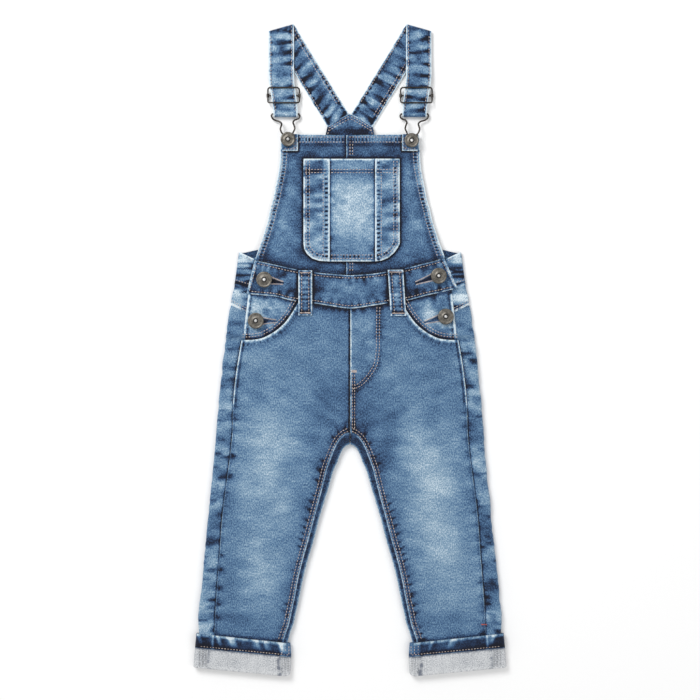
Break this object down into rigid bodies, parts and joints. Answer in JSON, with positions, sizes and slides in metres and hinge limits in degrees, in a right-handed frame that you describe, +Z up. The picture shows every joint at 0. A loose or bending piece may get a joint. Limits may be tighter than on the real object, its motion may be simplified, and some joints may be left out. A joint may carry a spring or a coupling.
{
  "type": "kids dungarees",
  "caption": "Child's denim dungarees laid flat on their back, with bib pocket, side buttons, straps on slides and wire hooks, and turned-up cuffs.",
  "frame": {"origin": "centre of the garment's outline on the surface it lies on", "axes": "+X the viewer's right (the wearer's left), +Y up the garment towards the straps, +Z up off the surface, the front of the garment facing up"},
  "size_m": [0.3382, 0.7048, 0.0128],
  "materials": {
    "back_leg_L": "stretch denim, washed and worn",
    "back_leg_R": "stretch denim, washed and worn",
    "front_leg_L": "stretch denim, washed and worn",
    "front_leg_R": "stretch denim, washed and worn",
    "hip_yoke_L": "stretch denim, washed and worn",
    "hip_yoke_R": "stretch denim, washed and worn",
    "back_waistband": "stretch denim, washed and worn",
    "back_bib": "stretch denim, washed and worn",
    "strap_yoke": "stretch denim, washed and worn",
    "front_waistband": "stretch denim, washed and worn",
    "pocket_facing_L": "stretch denim, washed and worn",
    "pocket_facing_R": "stretch denim, washed and worn",
    "bib_L": "stretch denim, washed and worn",
    "bib_R": "stretch denim, washed and worn",
    "bib_tab_L": "stretch denim, washed and worn",
    "bib_tab_R": "stretch denim, washed and worn",
    "bib_pocket_strip_L": "stretch denim, washed and worn",
    "bib_pocket_centre": "stretch denim, washed and worn",
    "bib_pocket_strip_R": "stretch denim, washed and worn",
    "belt_loop_L": "stretch denim, washed and worn",
    "belt_loop_R": "stretch denim, washed and worn",
    "cuff_L": "pale wrong side of denim",
    "cuff_R": "pale wrong side of denim",
    "cuff_band_L": "stretch denim, washed and worn",
    "cuff_band_R": "stretch denim, washed and worn",
    "strap_L": "stretch denim, washed and worn",
    "strap_R": "stretch denim, washed and worn",
    "slide_L": "antiqued pewter, satin",
    "slide_R": "antiqued pewter, satin",
    "hook_L": "antiqued pewter, satin",
    "hook_R": "antiqued pewter, satin",
    "button_waist_L": "antiqued pewter, satin",
    "button_waist_R": "antiqued pewter, satin",
    "button_pocket_L": "antiqued pewter, satin",
    "button_pocket_R": "antiqued pewter, satin",
    "button_bib_L": "antiqued pewter, satin",
    "button_bib_R": "antiqued pewter, satin"
  },
  "bodies": {
    "root": {"back_leg_L": "back_leg_L", "back_leg_R": "back_leg_R", "front_leg_L": "front_leg_L", "front_leg_R": "front_leg_R", "hip_yoke_L": "hip_yoke_L", "hip_yoke_R": "hip_yoke_R", "back_waistband": "back_waistband", "back_bib": "back_bib", "strap_yoke": "strap_yoke", "front_waistband": "front_waistband", "pocket_facing_L": "pocket_facing_L", "pocket_facing_R": "pocket_facing_R", "bib_L": "bib_L", "bib_R": "bib_R", "bib_tab_L": "bib_tab_L", "bib_tab_R": "bib_tab_R", "bib_pocket_strip_L": "bib_pocket_strip_L", "bib_pocket_centre": "bib_pocket_centre", "bib_pocket_strip_R": "bib_pocket_strip_R", "belt_loop_L": "belt_loop_L", "belt_loop_R": "belt_loop_R", "cuff_L": "cuff_L", "cuff_R": "cuff_R", "cuff_band_L": "cuff_band_L", "cuff_band_R": "cuff_band_R", "strap_L": "strap_L", "strap_R": "strap_R", "slide_L": "slide_L", "slide_R": "slide_R", "hook_L": "hook_L", "hook_R": "hook_R", "button_waist_L": "button_waist_L", "button_waist_R": "button_waist_R", "button_pocket_L": "button_pocket_L", "button_pocket_R": "button_pocket_R", "button_bib_L": "button_bib_L", "button_bib_R": "button_bib_R"}
  },
  "joints": []
}
